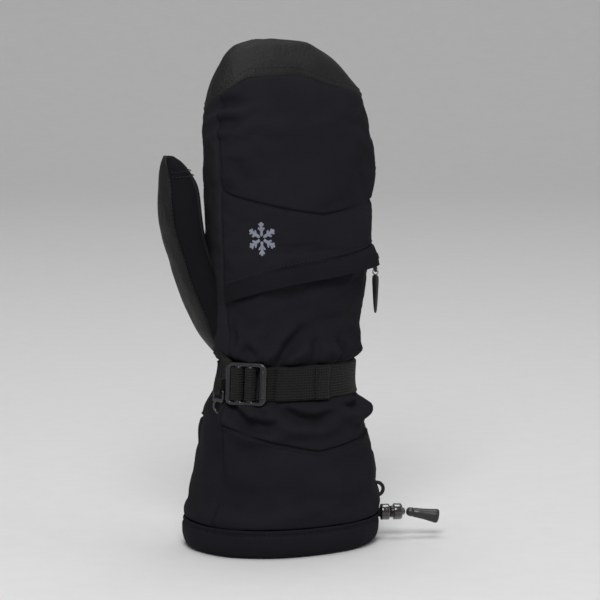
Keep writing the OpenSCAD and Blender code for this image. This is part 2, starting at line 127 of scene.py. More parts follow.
cap_curve = smooth([-30, -20, 0, 20, 55, 90, 125, 170, 200, 270, 330, 340, 360, 380],
                   [288.4, 289, 296, 302, 313, 313.5, 304, 294.5, 290.5, 298, 288.4, 289, 296, 302])
cap_seam = lambda p: cap_curve(np.where(np.asarray(p) > 380, np.asarray(p) - 360, p))
chevron = along((20, 239), (97, 222), (170, 228))
flap_top = smooth([20, 50, 88, 130, 170], [176, 184, 191, 195.5, 198])
flap_low = smooth([20, 50, 88, 130, 170], [165, 172.5, 180, 184, 185])
zip_seam = lambda p: (flap_top(p) + flap_low(p)) / 2 + 2.5
cuff_seam = along((20, 87), (91, 68), (170, 77.5), (200, 80), (270, 84), (340, 86))
strap_mid = smooth([0, 20, 39, 75, 120, 172], [122, 117.5, 113.5, 113, 112, 110.5])
WRIST_Z, HEM_Z, STRAP_W, ZIP_R = 124, 19, 22, 87
DEGREE_MM = 0.92  # how far one degree is round the hand
DEEPEST = -1.65  # a fold stays this far out of the padding


# ---------------------------------------------------------------- folds
def step(x, a, b):
    t = np.clip((x - a) / (b - a), 0, 1)
    return t * t * (3 - 2 * t)


def waves(p, z, cell, seed):
    """Smooth random relief from -1 to 1, which closes on itself round the hand."""
    n = max(4, round(330 / cell))
    table = np.random.default_rng(seed).uniform(-1, 1, (64, n))
    u, v = (np.asarray(p) / 360 % 1) * n, np.asarray(z) / cell + 5
    i, j = np.floor(u).astype(int), np.floor(v).astype(int)
    s, t = u - i, v - j
    s, t = s * s * (3 - 2 * s), t * t * (3 - 2 * t)
    low = table[j % 64, i % n] * (1 - s) + table[j % 64, (i + 1) % n] * s
    high = table[(j + 1) % 64, i % n] * (1 - s) + table[(j + 1) % 64, (i + 1) % n] * s
    return low * (1 - t) + high * t


# each fold: depth, half width, how much its lips rise, and the line (angle, height) it follows
FOLDS = [
    (4.2, 4.2, .6, [(33, 131), (40, 134), (50, 131)]),
    (5.6, 3.4, .8, [(58, 122), (66, 129), (75, 137), (86, 147)]),
    (3.0, 3.0, .7, [(90, 125), (93, 133), (92, 143)]),
    (4.4, 3.2, .8, [(117, 123), (117, 131), (113, 140)]),
    (1.8, 2.6, .7, [(140, 122), (143, 132), (150, 141)]),
    (1.4, 2.4, .7, [(22, 128), (26, 140), (27, 152)]),
    (6.4, 4.4, .7, [(14, 114), (21, 105), (30, 95), (44, 88), (60, 88), (76, 92)]),
    (6.0, 3.8, .8, [(60, 103), (69, 97), (80, 91), (92, 89), (108, 93)]),
    (5.6, 3.0, 1., [(110, 98), (122, 94), (134, 94), (146, 100)]),
    (3.6, 2.8, .7, [(48, 101), (54, 95), (63, 95)]),
    (1.8, 3.0, .6, [(150, 101), (158, 92), (163, 80)]),
    (3.4, 9.0, .4, [(12, 42), (47, 36), (67, 38), (84, 41)]),
    (2.4, 6.5, .5, [(90, 33), (104, 32), (122, 33), (150, 40)]),
    (2.6, 5.0, .5, [(11, 80), (16, 60), (23, 47)]),
    (1.2, 5.0, .4, [(90, 56), (104, 58), (125, 52)]),
    (1.1, 6.0, .4, [(38, 70), (52, 60), (60, 48)]),
    (3.0, 3.0, .7, [(2, 288), (14, 293), (30, 296), (46, 296)]),
    (2.8, 3.0, .7, [(0, 276), (14, 281), (30, 284), (44, 283)]),
    (1.3, 5.0, .5, [(24, 262), (35, 256), (46, 244)]),
    (1.0, 6.0, .5, [(128, 248), (138, 256), (146, 268)]),
    (1.0, 4.0, .5, [(0, 262), (6, 240), (8, 216)]),
    (0.9, 9.0, .4, [(34, 158), (60, 152), (92, 154), (130, 150)]),
    (1.4, 3.0, .7, [(160, 125), (168, 140), (176, 152)]),
    (1.5, 3.0, .6, [(205, 150), (225, 140), (250, 138)]),
    (1.5, 3.0, .6, [(320, 160), (300, 146), (275, 142)]),
    (1.3, 5.0, .5, [(200, 96), (230, 92), (262, 96)]),
    (1.3, 5.0, .5, [(280, 94), (300, 90), (318, 98)]),
    (1.2, 8.0, .4, [(200, 44), (235, 38), (270, 44)]),
    (1.2, 8.0, .4, [(280, 50), (305, 42), (318, 50)]),
    (1.2, 6.0, .5, [(215, 240), (250, 232), (290, 238)]),
    (1.0, 6.0, .5, [(210, 200), (250, 206), (300, 196)]),
]


def fold(p, z, depth, width, lip, line):
    """One soft crease with raised lips along a line."""
    x, y = p * 0.92, z
    line = [(a * 0.92, b) for a, b in line]
    lengths = [math.dist(a, b) for a, b in zip(line, line[1:])]
    total, done = sum(lengths), 0
    near = np.full(np.shape(x), 1e9)
    side, place = np.zeros(np.shape(x)), np.zeros(np.shape(x))
    for (a, b), length in zip(zip(line, line[1:]), lengths):
        dx, dy = (b[0] - a[0]) / length, (b[1] - a[1]) / length
        t = np.clip((x - a[0]) * dx + (y - a[1]) * dy, 0, length)
        ex, ey = x - a[0] - t * dx, y - a[1] - t * dy
        d = np.hypot(ex, ey)
        closer = d < near
        near = np.where(closer, d, near)
        side = np.where(closer, np.sign(ex * dy - ey * dx), side)
        place = np.where(closer, (done + t) / total, place)
        done += length
    fade = np.sqrt(np.clip(np.sin(math.pi * np.clip(place, 0.02, 0.98)), 0, 1))
    d = near * side / width
    rise = np.exp(-((d - 2.0) / 1.2) ** 2) + 0.65 * np.exp(-((d + 2.0) / 1.2) ** 2)
    ends = np.exp(-(np.maximum(near - 3.4 * width, 0) / width) ** 2)
    return depth * fade * ends * (lip * rise - np.exp(-d * d))


def simulate():
    """Cloth: a loose shell, held at the hem, strap and cap, that blows up a little and wrinkles.
    Returns its relief on a grid of angle and height."""
    ps, zs = np.arange(0, 360, 4.0), np.arange(20, 301, 3.5)
    p, z = np.meshgrid(ps, zs)
    rest = on_hand(p, z, 0) / 1000
    outward = on_hand(p, z, 1) / 1000 - rest
    outward /= np.linalg.norm(outward, axis=-1, keepdims=True)
    start = rest + outward * (0.0003 * waves(p, z, 10, 5))[..., None]
    rows, cols = p.shape
    faces = [(j * cols + i, j * cols + (i + 1) % cols, (j + 1) * cols + (i + 1) % cols, (j + 1) * cols + i)
             for j in range(rows - 1) for i in range(cols)]
    mesh = bpy.data.meshes.new("loose_shell")
    mesh.from_pydata(start.reshape(-1, 3).tolist(), [], faces)
    o = bpy.data.objects.new("loose_shell", mesh)
    bpy.context.scene.collection.objects.link(o)
    strap = np.abs(z - np.where(p < 190, strap_mid(p), 114)) < 11
    held = (z < 22) | (z > 296) | strap
    seam = (np.abs((p + 180) % 360 - 180 - 20) < 2.5) | (np.abs(p - 170) < 2.5)
    group = o.vertex_groups.new(name="held")
    for i, weight in enumerate(np.where(held, 1.0, np.where(seam, 0.25, 0)).ravel()):
        group.add([i], float(weight), "REPLACE")
    cloth = o.modifiers.new("cloth", "CLOTH")
    c = cloth.settings
    c.quality, c.mass = 6, 0.25
    c.tension_stiffness, c.compression_stiffness, c.shear_stiffness = 12, 12, 4
    c.bending_stiffness = 0.12
    c.shrink_min, c.shrink_max = -0.07, -0.07
    c.use_pressure, c.uniform_pressure_force = True, 1.2
    c.vertex_group_mass = "held"
    c.pin_stiffness = 1
    c.effector_weights.gravity = 0
    cloth.collision_settings.use_collision = False
    cloth.point_cache.frame_start, cloth.point_cache.frame_end = 1, 26
    scene = bpy.context.scene
    for f in range(1, 27):
        scene.frame_set(f)
    got = o.evaluated_get(bpy.context.evaluated_depsgraph_get()).to_mesh()
    co = np.empty(len(got.vertices) * 3)
    got.vertices.foreach_get("co", co)
    scene.frame_set(1)
    bpy.data.objects.remove(o)
    relief = ((co.reshape(rows, cols, 3) - rest) * outward).sum(-1) * 1000
    wide = relief.copy()
    for _ in range(30):
        wide = (wide + np.roll(wide, 1, 1) + np.roll(wide, -1, 1) + np.vstack([wide[:1], wide[:-1]])
                + np.vstack([wide[1:], wide[-1:]])) / 5
    return ps, zs, np.clip(relief - wide, -2.5, 2.5)


sim_p, sim_z, sim_relief = simulate()


def simulated(p, z):
    u = np.asarray(p) % 360 / (sim_p[1] - sim_p[0])
    v = np.clip((np.asarray(z) - sim_z[0]) / (sim_z[1] - sim_z[0]), 0, len(sim_z) - 1.001)
    i, j = np.floor(u).astype(int) % len(sim_p), np.floor(v).astype(int)
    s, t = u % 1, v % 1
    s, t = s * s * (3 - 2 * s), t * t * (3 - 2 * t)
    k = (i + 1) % len(sim_p)
    return ((sim_relief[j, i] * (1 - s) + sim_relief[j, k] * s) * (1 - t)
            + (sim_relief[j + 1, i] * (1 - s) + sim_relief[j + 1, k] * s) * t)


def hand_relief(p, z):
    """How far the worn-in fabric stands off its plain shape."""
    q = (np.asarray(p) + 40) % 360 - 40
    z = np.asarray(z, float)
    mid = np.where(q < 186, strap_mid(q), 114)
    on_back = step(q, 6, 22) * (1 - 0.8 * step(q, 142, 168)) * (1 - step(q, 166, 178))
    above, below = z - mid - 11, mid - 11 - z
    r = on_back * (3.0 * np.exp(-((above - 7) / 6.5) ** 2) + 3.8 * np.exp(-((below - 8) / 7.5) ** 2))
    for f in FOLDS:
        r = r + fold(q, z, *f)
    r = r + 0.55 * waves(p, z, 26, 2) + 0.16 * waves(p, z, 9, 3)
    r = r + 0.5 * simulated(p, z) * step(z, 18, 30) * (1 - step(z, 280, 300))
    gather = step(q, 196, 206) * (1 - step(q, 306, 318))
    r = r + gather * 1.1 * np.sin(q * 0.95 + 0.6 * waves(p, z, 30, 8)) * np.exp(-((z - 114) / 11) ** 2)
    under = np.where(on_back > 0, np.maximum(np.abs(z - mid) - 10.5, 0), 9)
    r = np.where(under < 4, -0.3 + (r + 0.3) * step(under, 0, 4), r)
    gentle = 1 - 0.55 * step(np.abs(np.cos(np.radians(q))), 0.93, 1.0)
    r = r * gentle * step(z, 17, 25)
    r = r + 0.35 * np.sin(q * 1.9 + 2 * waves(p, z, 24, 9)) * np.exp(-((z - HEM_Z - 1.5) / 2.6) ** 2)
    return np.where(r < -1.3, -1.3 - 0.5 * np.tanh((-1.3 - r) / 0.8), r)


# ---------------------------------------------------------------- mesh helpers
def finish_piece(o, body, material, slot, replaced=()):
    o.data.materials.clear()
    o.data.materials.append(material)
    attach(o, body)
    if replaced:
        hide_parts(*replaced)
    return o


def new_object(name, verts, faces, uvs=None, flat=False):
    """A smooth-shaded mesh object; uvs is one pair for each face corner."""
    mesh = bpy.data.meshes.new(name)
    mesh.from_pydata(np.asarray(verts).tolist(), [], faces)
    if uvs is not None:
        mesh.uv_layers.new(name="UVMap").data.foreach_set("uv", np.asarray(uvs, float).ravel())
    mesh.polygons.foreach_set("use_smooth", [not flat] * len(mesh.polygons))
    mesh.update()
    o = bpy.data.objects.new(name, mesh)
    bpy.context.scene.collection.objects.link(o)
    return o


def sheet_mesh(name, outer, inner, uv, wrap=False):
    """Two grids (rows, columns, xyz in mm) joined round their rims; uv in metres."""
    rows, cols = outer.shape[:2]
    verts = np.concatenate([outer.reshape(-1, 3), inner.reshape(-1, 3)]) / 1000
    span = cols if wrap else cols - 1
    j, i = np.meshgrid(np.arange(rows - 1), np.arange(span), indexing="ij")
    j, i = j.ravel(), i.ravel()
    k = (i + 1) % cols
    out = np.stack([j * cols + i, j * cols + k, (j + 1) * cols + k, (j + 1) * cols + i], 1)
    corner = np.stack([uv[j, i], uv[j, i + 1], uv[j + 1, i + 1], uv[j + 1, i]], 1)
    n = rows * cols
    faces, corners = [out, out[:, ::-1] + n], [corner, corner[:, ::-1]]
    for row, turn in ((0, 1), (rows - 1, -1)):
        a = row * cols + np.arange(span)
        b = row * cols + (np.arange(span) + 1) % cols
        faces.append(np.stack([a + n, b + n, b, a], 1)[:, ::turn])
        c, d = uv[row, :span], uv[row, 1:span + 1]
        corners.append(np.stack([c, d, d, c], 1)[:, ::turn])
    if not wrap:
        for col, turn in ((0, -1), (cols - 1, 1)):
            a = np.arange(rows - 1) * cols + col
            b = a + cols
            faces.append(np.stack([a + n, b + n, b, a], 1)[:, ::turn])
            c, d = uv[:-1, col], uv[1:, col]
            corners.append(np.stack([c, d, d, c], 1)[:, ::turn])
    return new_object(name, verts, np.concatenate(faces).tolist(), np.concatenate(corners).reshape(-1, 2))


def spaced(length, pitch=1.6):
    """Fractions from 0 to 1, close together at both ends."""
    fine = [0, 0.35, 0.8, 1.4, 2.2, 3.2]
    n = max(2, round((length - 6.4) / pitch))
    mids = np.linspace(3.2, max(length - 3.2, 3.3), n + 1)[1:-1]
    return np.array(fine + list(mids) + [length - f for f in reversed(fine)]) / length


def panel(name, p0, p1, low, high, material, slot, replaced, at=on_hand, relief=hand_relief, o=0.0,
          thick=1.0, puff=0.6, roll=1.5, tip=None, pitch=1.6, soft=1.0, end_power=1.0):
    """A sewn panel between two seams: crowned in the middle, pulled down along its edges."""
    wrap = p1 - p0 >= 360
    degree = DEGREE_MM * (0.35 if at is on_thumb else 1)
    width = (p1 - p0) * degree
    us = np.arange(0, 360, 1.5) / 360 if wrap else spaced(width, pitch)
    mid = (p0 + p1) / 2
    height = float(np.max(high(np.array([p0, mid, p1])) - low(np.array([p0, mid, p1]))))
    vs = spaced(height, pitch)
    if end_power != 1:
        vs = np.sort(np.concatenate([vs[vs < 0.5], 1 - (1 - np.linspace(0.5, 1, 40)) ** end_power
                                     * 0.5 ** (1 - end_power)]))
    u, v = np.meshgrid(us, vs)
    p = p0 + (p1 - p0) * u
    z = low(p) + (high(p) - low(p)) * v
    tall = np.maximum(high(p) - low(p), 0.1)
    across = np.full_like(u, 99.0) if wrap else np.minimum(u, 1 - u) * width
    top = np.full_like(u, 99.0) if tip else (1 - v) * tall
    edge = np.minimum(np.minimum(across, top), v * tall)
    off = o + puff * (1 - np.exp(-edge / 8)) - roll * np.exp(-(edge / soft) ** 2)
    off = np.maximum(off + relief(p, z), DEEPEST)
    outer, inner = at(p, z, off), at(p, z, off - thick)
    uv = np.stack([p * degree, z], -1) / 1000
    if tip:
        cx, cy, rise = tip
        rows_out, rows_in, uvs = [outer], [inner], [uv]
        for w in (0.8, 0.6, 0.4, 0.2, 0.02):
            for rows_, last in ((rows_out, outer[-1:]), (rows_in, inner[-1:])):
                ring = last.copy()
                centre = np.array([cx, cy, ring[..., 2].mean()])
                ring = centre + (ring - centre) * w
                ring[..., 2] += rise * (1 - w * w)
                rows_.append(ring)
            uvs.append(uv[-1:] + (0, 0.001 * (1 - w) * 5))
        outer, inner, uv = map(np.concatenate, (rows_out, rows_in, uvs))
    if wrap:
        uv = np.concatenate([uv, uv[:, :1] + ((p1 - p0) * 0.00092, 0)], 1)
    made = sheet_mesh(name, outer, inner, uv, wrap)
    return finish_piece(made, "shell", material, slot, replaced)


def ring_faces(count, n, base=0, caps=True, closed=False, flip=False):
    """Quads between rings of n points each, with a face over each end."""
    last = count if closed else count - 1
    faces = [(base + a * n + s, base + a * n + (s + 1) % n, base + (a + 1) % count * n + (s + 1) % n,
              base + (a + 1) % count * n + s) for a in range(last) for s in range(n)]
    if caps and not closed:
        faces += [[base + s for s in range(n)][::-1], [base + (count - 1) * n + s for s in range(n)]]
    return [f[::-1] for f in faces] if flip else faces


def tube_mesh(name, path, radius, sides=12, closed=False, squash=1.0):
    """A round tube along points in mm, with a radius for each point or one for all."""
    path = np.asarray(path, float)
    n = len(path)
    radius = np.full(n, radius, float) if np.isscalar(radius) else np.asarray(radius, float)
    tangent = (np.roll(path, -1, 0) - np.roll(path, 1, 0)) if closed else np.gradient(path, axis=0)
    tangent /= np.linalg.norm(tangent, axis=1, keepdims=True) + 1e-12
    side = np.cross(tangent[0], [0.3, 0.5, 0.8])
    rings = []
    for i in range(n):
        side = side - tangent[i] * np.dot(side, tangent[i])
        side /= np.linalg.norm(side)
        up = np.cross(tangent[i], side)
        q = np.linspace(0, 2 * math.pi, sides, endpoint=False)[:, None]
        rings.append(path[i] + radius[i] * (np.cos(q) * side + squash * np.sin(q) * up))
    verts = np.concatenate(rings) / 1000
    faces = ring_faces(n, sides, closed=closed)
    quads = (n if closed else n - 1) * sides
    lengths = np.concatenate([[0], np.cumsum(np.linalg.norm(np.diff(path, axis=0), axis=1))])
    uvs = []
    for f in faces[:quads]:
        a, s = divmod(f[0], sides)
        l0 = lengths[a]
        l1 = lengths[a + 1] if a + 1 < n else l0 + 1
        uvs += [(s / sides, l0 / 1000), ((s + 1) / sides, l0 / 1000), ((s + 1) / sides, l1 / 1000),
                (s / sides, l1 / 1000)]
    for f in faces[quads:]:
        uvs += [(0, 0)] * len(f)
    return new_object(name, verts, faces, uvs)


def lathe(name, profile, sides=48):
    """A turned shape round the x axis; profile is (x, radius) in mm."""
    turns = [2 * math.pi * s / sides for s in range(sides)]
    verts = [(x, max(r, 0.01) * math.cos(q), max(r, 0.01) * math.sin(q)) for x, r in profile for q in turns]
    return new_object(name, np.array(verts) / 1000, ring_faces(len(profile), sides, flip=True))


def plate(name, outline, holes, thick, bevel):
    """A flat plate with rounded edges, in the local xy plane; outlines in mm."""
    curve = bpy.data.curves.new(name, "CURVE")
    curve.dimensions, curve.fill_mode = "2D", "BOTH"
    curve.extrude = (thick / 2 - bevel) / 1000
    curve.bevel_depth, curve.bevel_resolution = bevel / 1000, 3
    curve.offset = -bevel / 1000
    for line in [outline] + holes:
        s = curve.splines.new("POLY")
        s.points.add(len(line) - 1)
        for point, (x, y) in zip(s.points, line):
            point.co = (x / 1000, y / 1000, 0, 1)
        s.use_cyclic_u = True
    o = bpy.data.objects.new(name + "_curve", curve)
    bpy.context.scene.collection.objects.link(o)
    bpy.context.view_layer.update()
    mesh = bpy.data.meshes.new_from_object(o.evaluated_get(bpy.context.evaluated_depsgraph_get()))
    mesh.name = name
    bpy.data.objects.remove(o)
    mesh.polygons.foreach_set("use_smooth", [True] * len(mesh.polygons))
    made = bpy.data.objects.new(name, mesh)
    bpy.context.scene.collection.objects.link(made)
    return made


def rounded_box(x0, y0, x1, y1, r, n=6):
    """The outline of a rectangle with round corners."""
    line = []
    for cx, cy, a in ((x1 - r, y1 - r, 0), (x0 + r, y1 - r, 90), (x0 + r, y0 + r, 180), (x1 - r, y0 + r, 270)):
        for i in range(n + 1):
            q = math.radians(a + 90 * i / n)
            line.append((cx + r * math.cos(q), cy + r * math.sin(q)))
    return line


def place(o, matrix):
    """Moves a mesh made at the origin into the shared frame."""
    o.data.transform(matrix)
    o.data.update()
    return o


def join(name, parts):
    for o in bpy.context.selected_objects:
        o.select_set(False)
    for o in parts:
        o.select_set(True)
    bpy.context.view_layer.objects.active = parts[0]
    bpy.ops.object.join()
    parts[0].name = name
    return parts[0]


def turn(axis, degrees):
    return Matrix.Rotation(math.radians(degrees), 4, axis)


def shift(x, y, z):
    return Matrix.Translation((x / 1000, y / 1000, z / 1000))


# ---------------------------------------------------------------- materials
class Shader:
    """A small helper for building one material's nodes."""

    def __init__(self, name):
        self.material = bpy.data.materials.new(name)
        self.material.use_nodes = True
        self.nodes, self.links = self.material.node_tree.nodes, self.material.node_tree.links
        self.main = self.nodes["Principled BSDF"]

    def node(self, kind, inputs=None, **settings):
        n = self.nodes.new(kind)
        for key, value in settings.items():
            setattr(n, key, value)
        for key, value in (inputs or {}).items():
            if isinstance(value, bpy.types.NodeSocket):
                self.links.new(value, n.inputs[key])
            else:
                n.inputs[key].default_value = value
        return n

    def coords(self, kind="Object", scale=(1, 1, 1)):
        c = self.node("ShaderNodeTexCoord")
        m = self.node("ShaderNodeMapping", {"Vector": c.outputs[kind], "Scale": scale})
        return m.outputs["Vector"]

    def noise(self, vector, scale, detail=3, rough=0.6):
        n = self.node("ShaderNodeTexNoise", {"Vector": vector, "Scale": scale, "Detail": detail,
                                             "Roughness": rough})
        return n.outputs["Fac"]

    def bands(self, period, direction):
        """Even ridges with a pitch in metres across the piece's own length and width."""
        s = 0.31416 / period
        vector = self.coords("UV", (s, s, s))
        n = self.node("ShaderNodeTexWave", {"Vector": vector, "Scale": 1.0}, bands_direction=direction)
        return n.outputs["Fac"]

    def math(self, kind, a, b):
        return self.node("ShaderNodeMath", {0: a, 1: b}, operation=kind).outputs[0]

    def mix(self, a, share_a, b, share_b):
        return self.math("ADD", self.math("MULTIPLY", a, share_a), self.math("MULTIPLY", b, share_b))

    def ramp(self, value, low, high, dark, light):
        n = self.node("ShaderNodeMapRange", {"Value": value, "From Min": low, "From Max": high,
                                             "To Min": dark, "To Max": light})
        return n.outputs["Result"]

    def color(self, value, dark, light):
        n = self.node("ShaderNodeMix", {"Factor": value, 6: (*dark, 1), 7: (*light, 1)}, data_type="RGBA")
        self.links.new(n.outputs[2], self.main.inputs["Base Color"])

    def rough(self, value, low, high):
        self.links.new(self.ramp(value, 0.3, 0.7, low, high), self.main.inputs["Roughness"])

    def bump(self, *layers):
        """Layers of (height, depth in metres)."""
        before = None
        for height, depth in layers:
            n = self.node("ShaderNodeBump", {"Height": height, "Distance": depth, "Strength": 1.0})
            if before is not None:
                self.links.new(before, n.inputs["Normal"])
            before = n.outputs["Normal"]
        self.links.new(before, self.main.inputs["Normal"])

    def set(self, **values):
        for key, value in values.items():
            self.main.inputs[key.replace("_", " ")].default_value = value
        return self


def tint(color, k):
    return tuple(min(1, c * k) for c in color)


def cloth_material(name, color, period=0.0007, depth=0.00006, sheen=0.0, rough=(0.8, 0.92), spread=0.22):
    """Tightly woven shell fabric with a faint slub."""
    s = Shader(name)
    spot = s.coords()
    broad = s.noise(spot, 28, 3, 0.55)
    fine = s.noise(spot, 900, 4, 0.7)
    weave = s.math("MULTIPLY", s.bands(period, "X"), s.bands(period, "Y"))
    shade = s.ramp(s.mix(broad, 0.55, fine, 0.45), 0.3, 0.7, 0, 1)
    s.color(shade, tint(color, 1 - spread), tint(color, 1 + spread))
    s.rough(fine, *rough)
    s.bump((weave, depth), (fine, 0.00010), (s.noise(spot, 160, 2), 0.0002))
    s.set(Sheen_Weight=sheen, Sheen_Roughness=0.45, Specular_IOR_Level=0.10)
    return s.material


def leather_material(name, color, grain=900):
    """Fine matte grain with shallow pores and slightly rubbed high spots."""
    s = Shader(name)
    spot = s.coords()
    cells = s.node("ShaderNodeTexVoronoi", {"Vector": spot, "Scale": grain}, feature="F1").outputs["Distance"]
    fine = s.noise(spot, grain * 1.7, 4, 0.65)
    broad = s.noise(spot, 35, 4, 0.6)
    s.color(s.ramp(s.mix(broad, 0.6, fine, 0.4), 0.3, 0.7, 0, 1), tint(color, 0.45), tint(color, 1.65))
    s.rough(broad, 0.5, 0.68)
    s.bump((cells, 0.000256), (fine, 0.00016), (s.noise(spot, 260, 3), 0.0005))
    s.set(Specular_IOR_Level=0.2)
    return s.material


def webbing_material(name, color):
    """Ribbed woven tape: ribs along its length, picks across it."""
    s = Shader(name)
    ribs, picks = s.bands(0.0017, "Y"), s.bands(0.0015, "X")
    knots = s.math("MULTIPLY", ribs, picks)
    fine = s.noise(s.coords(), 1500, 3, 0.7)
    s.color(s.ramp(s.mix(knots, 0.8, fine, 0.35), 0.1, 0.9, 0, 1), tint(color, 0.45), tint(color, 1.7))
    s.rough(fine, 0.62, 0.8)
    s.bump((ribs, 0.00035), (knots, 0.00045), (fine, 0.0001))
    s.set(Specular_IOR_Level=0.25, Sheen_Weight=0.05)
    return s.material


def plastic_material(name, color, rough=(0.2, 0.34), coat=0.3, transmission=0.0):
    """Moulded plastic with a faint flow texture and handling marks."""
    s = Shader(name)
    spot = s.coords()
    marks = s.noise(spot, 420, 5, 0.7)
    broad = s.noise(spot, 90, 2)
    s.color(s.ramp(broad, 0.3, 0.7, 0, 1), tint(color, 0.85), tint(color, 1.2))
    s.rough(marks, *rough)
    s.bump((marks, 0.00002), (broad, 0.00008))
    s.set(Coat_Weight=coat, Coat_Roughness=0.12, Specular_IOR_Level=0.55, Transmission_Weight=transmission)
    return s.material


def metal_material(name, color, rough=(0.24, 0.42)):
    """Plated metal with fine rubbing marks."""
    s = Shader(name)
    marks = s.noise(s.coords(), 700, 5, 0.7)
    s.color(s.ramp(marks, 0.3, 0.7, 0, 1), tint(color, 0.8), tint(color, 1.2))
    s.rough(marks, *rough)
    s.bump((marks, 0.00003))
    s.set(Metallic=1.0)
    return s.material


def thread_material(name, color, rough=(0.5, 0.7)):
    """Twisted thread."""
    s = Shader(name)
    ply = s.noise(s.coords(), 2600, 2)
    s.color(s.ramp(ply, 0.35, 0.65, 0, 1), tint(color, 0.7), tint(color, 1.35))
    s.rough(ply, *rough)
    s.bump((ply, 0.0001))
    s.set(Specular_IOR_Level=0.3)
    return s.material


def fleece_material(name, color):
    """Curly pile."""
    s = Shader(name)
    spot = s.coords()
    curl = s.noise(spot, 380, 5, 0.75)
    s.color(s.ramp(curl, 0.3, 0.7, 0, 1), tint(color, 0.7), tint(color, 1.3))
    s.rough(curl, 0.85, 1.0)
    s.bump((curl, 0.0011), (s.noise(spot, 1400, 2), 0.0003))
    s.set(Sheen_Weight=0.6, Sheen_Roughness=0.6)
    return s.material


shell_cloth = cloth_material("softshell", (0.0112, 0.0105, 0.0142))
shell_dark = cloth_material("softshell_dark", (0.0062, 0.0062, 0.0080))
# painted light: a lighter copy of the same softshell, for the thumb-side gusset that faces the light; every
# gusset panel and the thumb's inner panel wear it
gusset_cloth_painted_light = cloth_material("softshell_gusset_painted_light", (0.0138, 0.0136, 0.0172))
cuff_cloth = cloth_material("cuff_fabric", (0.0106, 0.0100, 0.0136), period=0.0006)
flap_cloth = cloth_material("flap_fabric", (0.0080, 0.0076, 0.0102))
cap_leather = leather_material("cap_leather", (0.0108, 0.0106, 0.0112))
palm_leather = leather_material("palm_leather", (0.0098, 0.0088, 0.0098), grain=700)
strap_cloth = webbing_material("webbing", (0.0052, 0.0049, 0.0043))
thread_dark = thread_material("thread", (0.006, 0.006, 0.007))
thread_light = thread_material("thread_grey", (0.014, 0.0138, 0.015))
embroidery = thread_material("embroidery", (0.20, 0.215, 0.265))
buckle_plastic = plastic_material("buckle_plastic", (0.011, 0.011, 0.013), rough=(0.26, 0.38), coat=0.25)
lock_plastic = plastic_material("lock_plastic", (0.020, 0.018, 0.017), rough=(0.12, 0.22), coat=0.7,
                                transmission=0.12)
toggle_rubber = plastic_material("toggle_rubber", (0.011, 0.0105, 0.0115), rough=(0.38, 0.5), coat=0.15)
cord_cloth = thread_material("cord", (0.012, 0.012, 0.013))
ring_metal = metal_material("ring_wire", (0.42, 0.42, 0.44))
slider_metal = metal_material("slider_metal", (0.10, 0.10, 0.11))
zip_nylon = plastic_material("zip_nylon", (0.016, 0.016, 0.018), rough=(0.35, 0.5), coat=0.1)
zip_cloth = cloth_material("zip_fabric", (0.0085, 0.0085, 0.0095), period=0.0009, sheen=0.1)
lining_cloth = cloth_material("lining_fabric", (0.028, 0.028, 0.031), period=0.0012, depth=0.0001, sheen=0.3)
fleece = fleece_material("fleece", (0.045, 0.045, 0.050))
padding = fleece_material("padding", (0.6, 0.6, 0.6))
membrane = cloth_material("membrane", (0.45, 0.46, 0.48), rough=(0.4, 0.5))
elastic = webbing_material("elastic", (0.25, 0.25, 0.25))
label = cloth_material("label", (0.75, 0.75, 0.73))

cad_materials = {
    "hand_padding": padding, "thumb_padding": padding, "cuff_padding": padding, "waterproof_insert": membrane,
    "hand_lining": fleece, "thumb_lining": fleece, "pocket_bag": lining_cloth, "wrist_elastic": elastic,
    "care_label": label, "drawcord_channel": lining_cloth, "zip_top_stop": zip_nylon,
    "zip_bottom_stop": zip_nylon, "drawcord_end": cord_cloth, "zip_slider": slider_metal,
    "cord_lock_tab": strap_cloth, "clip_loop": strap_cloth,
}
for node_name, node_material in cad_materials.items():
    nodes[node_name].data.materials.clear()
    nodes[node_name].data.materials.append(node_material)

# ---------------------------------------------------------------- hand and cuff panels
SHELL, CUFF = (shell_cloth, "softshell"), (cuff_cloth, "cuff_fabric")
# the gussets' lighter softshell colour is painted light
GUSSET_PAINTED_LIGHT, PALM = (gusset_cloth_painted_light, "softshell"), (palm_leather, "cap_leather")
wrist, cuff_end = level(WRIST_Z), level(HEM_Z)
for piece, node_name, p0, p1, low, high, (skin, finish), puff in (
        ("back_upper", "back_upper_panel", 20, 170, chevron, cap_seam, SHELL, 0.6),
        ("back_mid", "back_mid_panel", 20, 170, zip_seam, chevron, SHELL, 0.6),
        ("back_lower", "back_lower_panel", 20, 170, cuff_seam, zip_seam, SHELL, 0.6),
        ("outer_side", "outer_side_panel", 170, 190, cuff_seam, cap_seam, GUSSET_PAINTED_LIGHT, 0.3),
        ("thumb_side_gusset", "side_gusset", 340, 380, wrist, cap_seam, GUSSET_PAINTED_LIGHT, 0.8),
        ("palm", "palm_panel", 190, 340, wrist, cap_seam, PALM, 0.6),
        ("wrist_palm", "wrist_palm_panel", 190, 340, cuff_seam, wrist, CUFF, 0.6),
        ("cuff_back", "cuff_back_panel", 20, 170, cuff_end, cuff_seam, CUFF, 1.0),
        ("cuff_gusset", "cuff_thumb_gusset", 340, 380, cuff_end, wrist, CUFF, 0.9),
        ("cuff_palm", "cuff_palm_panel", 170, 340, cuff_end, cuff_seam, CUFF, 1.0)):
    panel(piece, p0, p1, low, high, skin, finish, [node_name], puff=puff)


def cap_relief(p, z):
    return 0.35 * waves(p, z, 18, 11) + 0.12 * waves(p, z, 7, 12)


panel("fingertip_cap_leather", 0, 360, lambda p: cap_seam(p) - 1.2, level(334), cap_leather, "cap_leather",
      ["fingertip_cap"], relief=cap_relief, o=0.4, thick=1.5, puff=0.3, roll=0.5, soft=0.8,
      tip=(-7, 8, 0.2), end_power=1.8)


def thumb_relief(p, z):
    return (0.5 * waves(p, z, 20, 21) + 0.14 * waves(p, z, 8, 22)) * step(z, 130, 150)


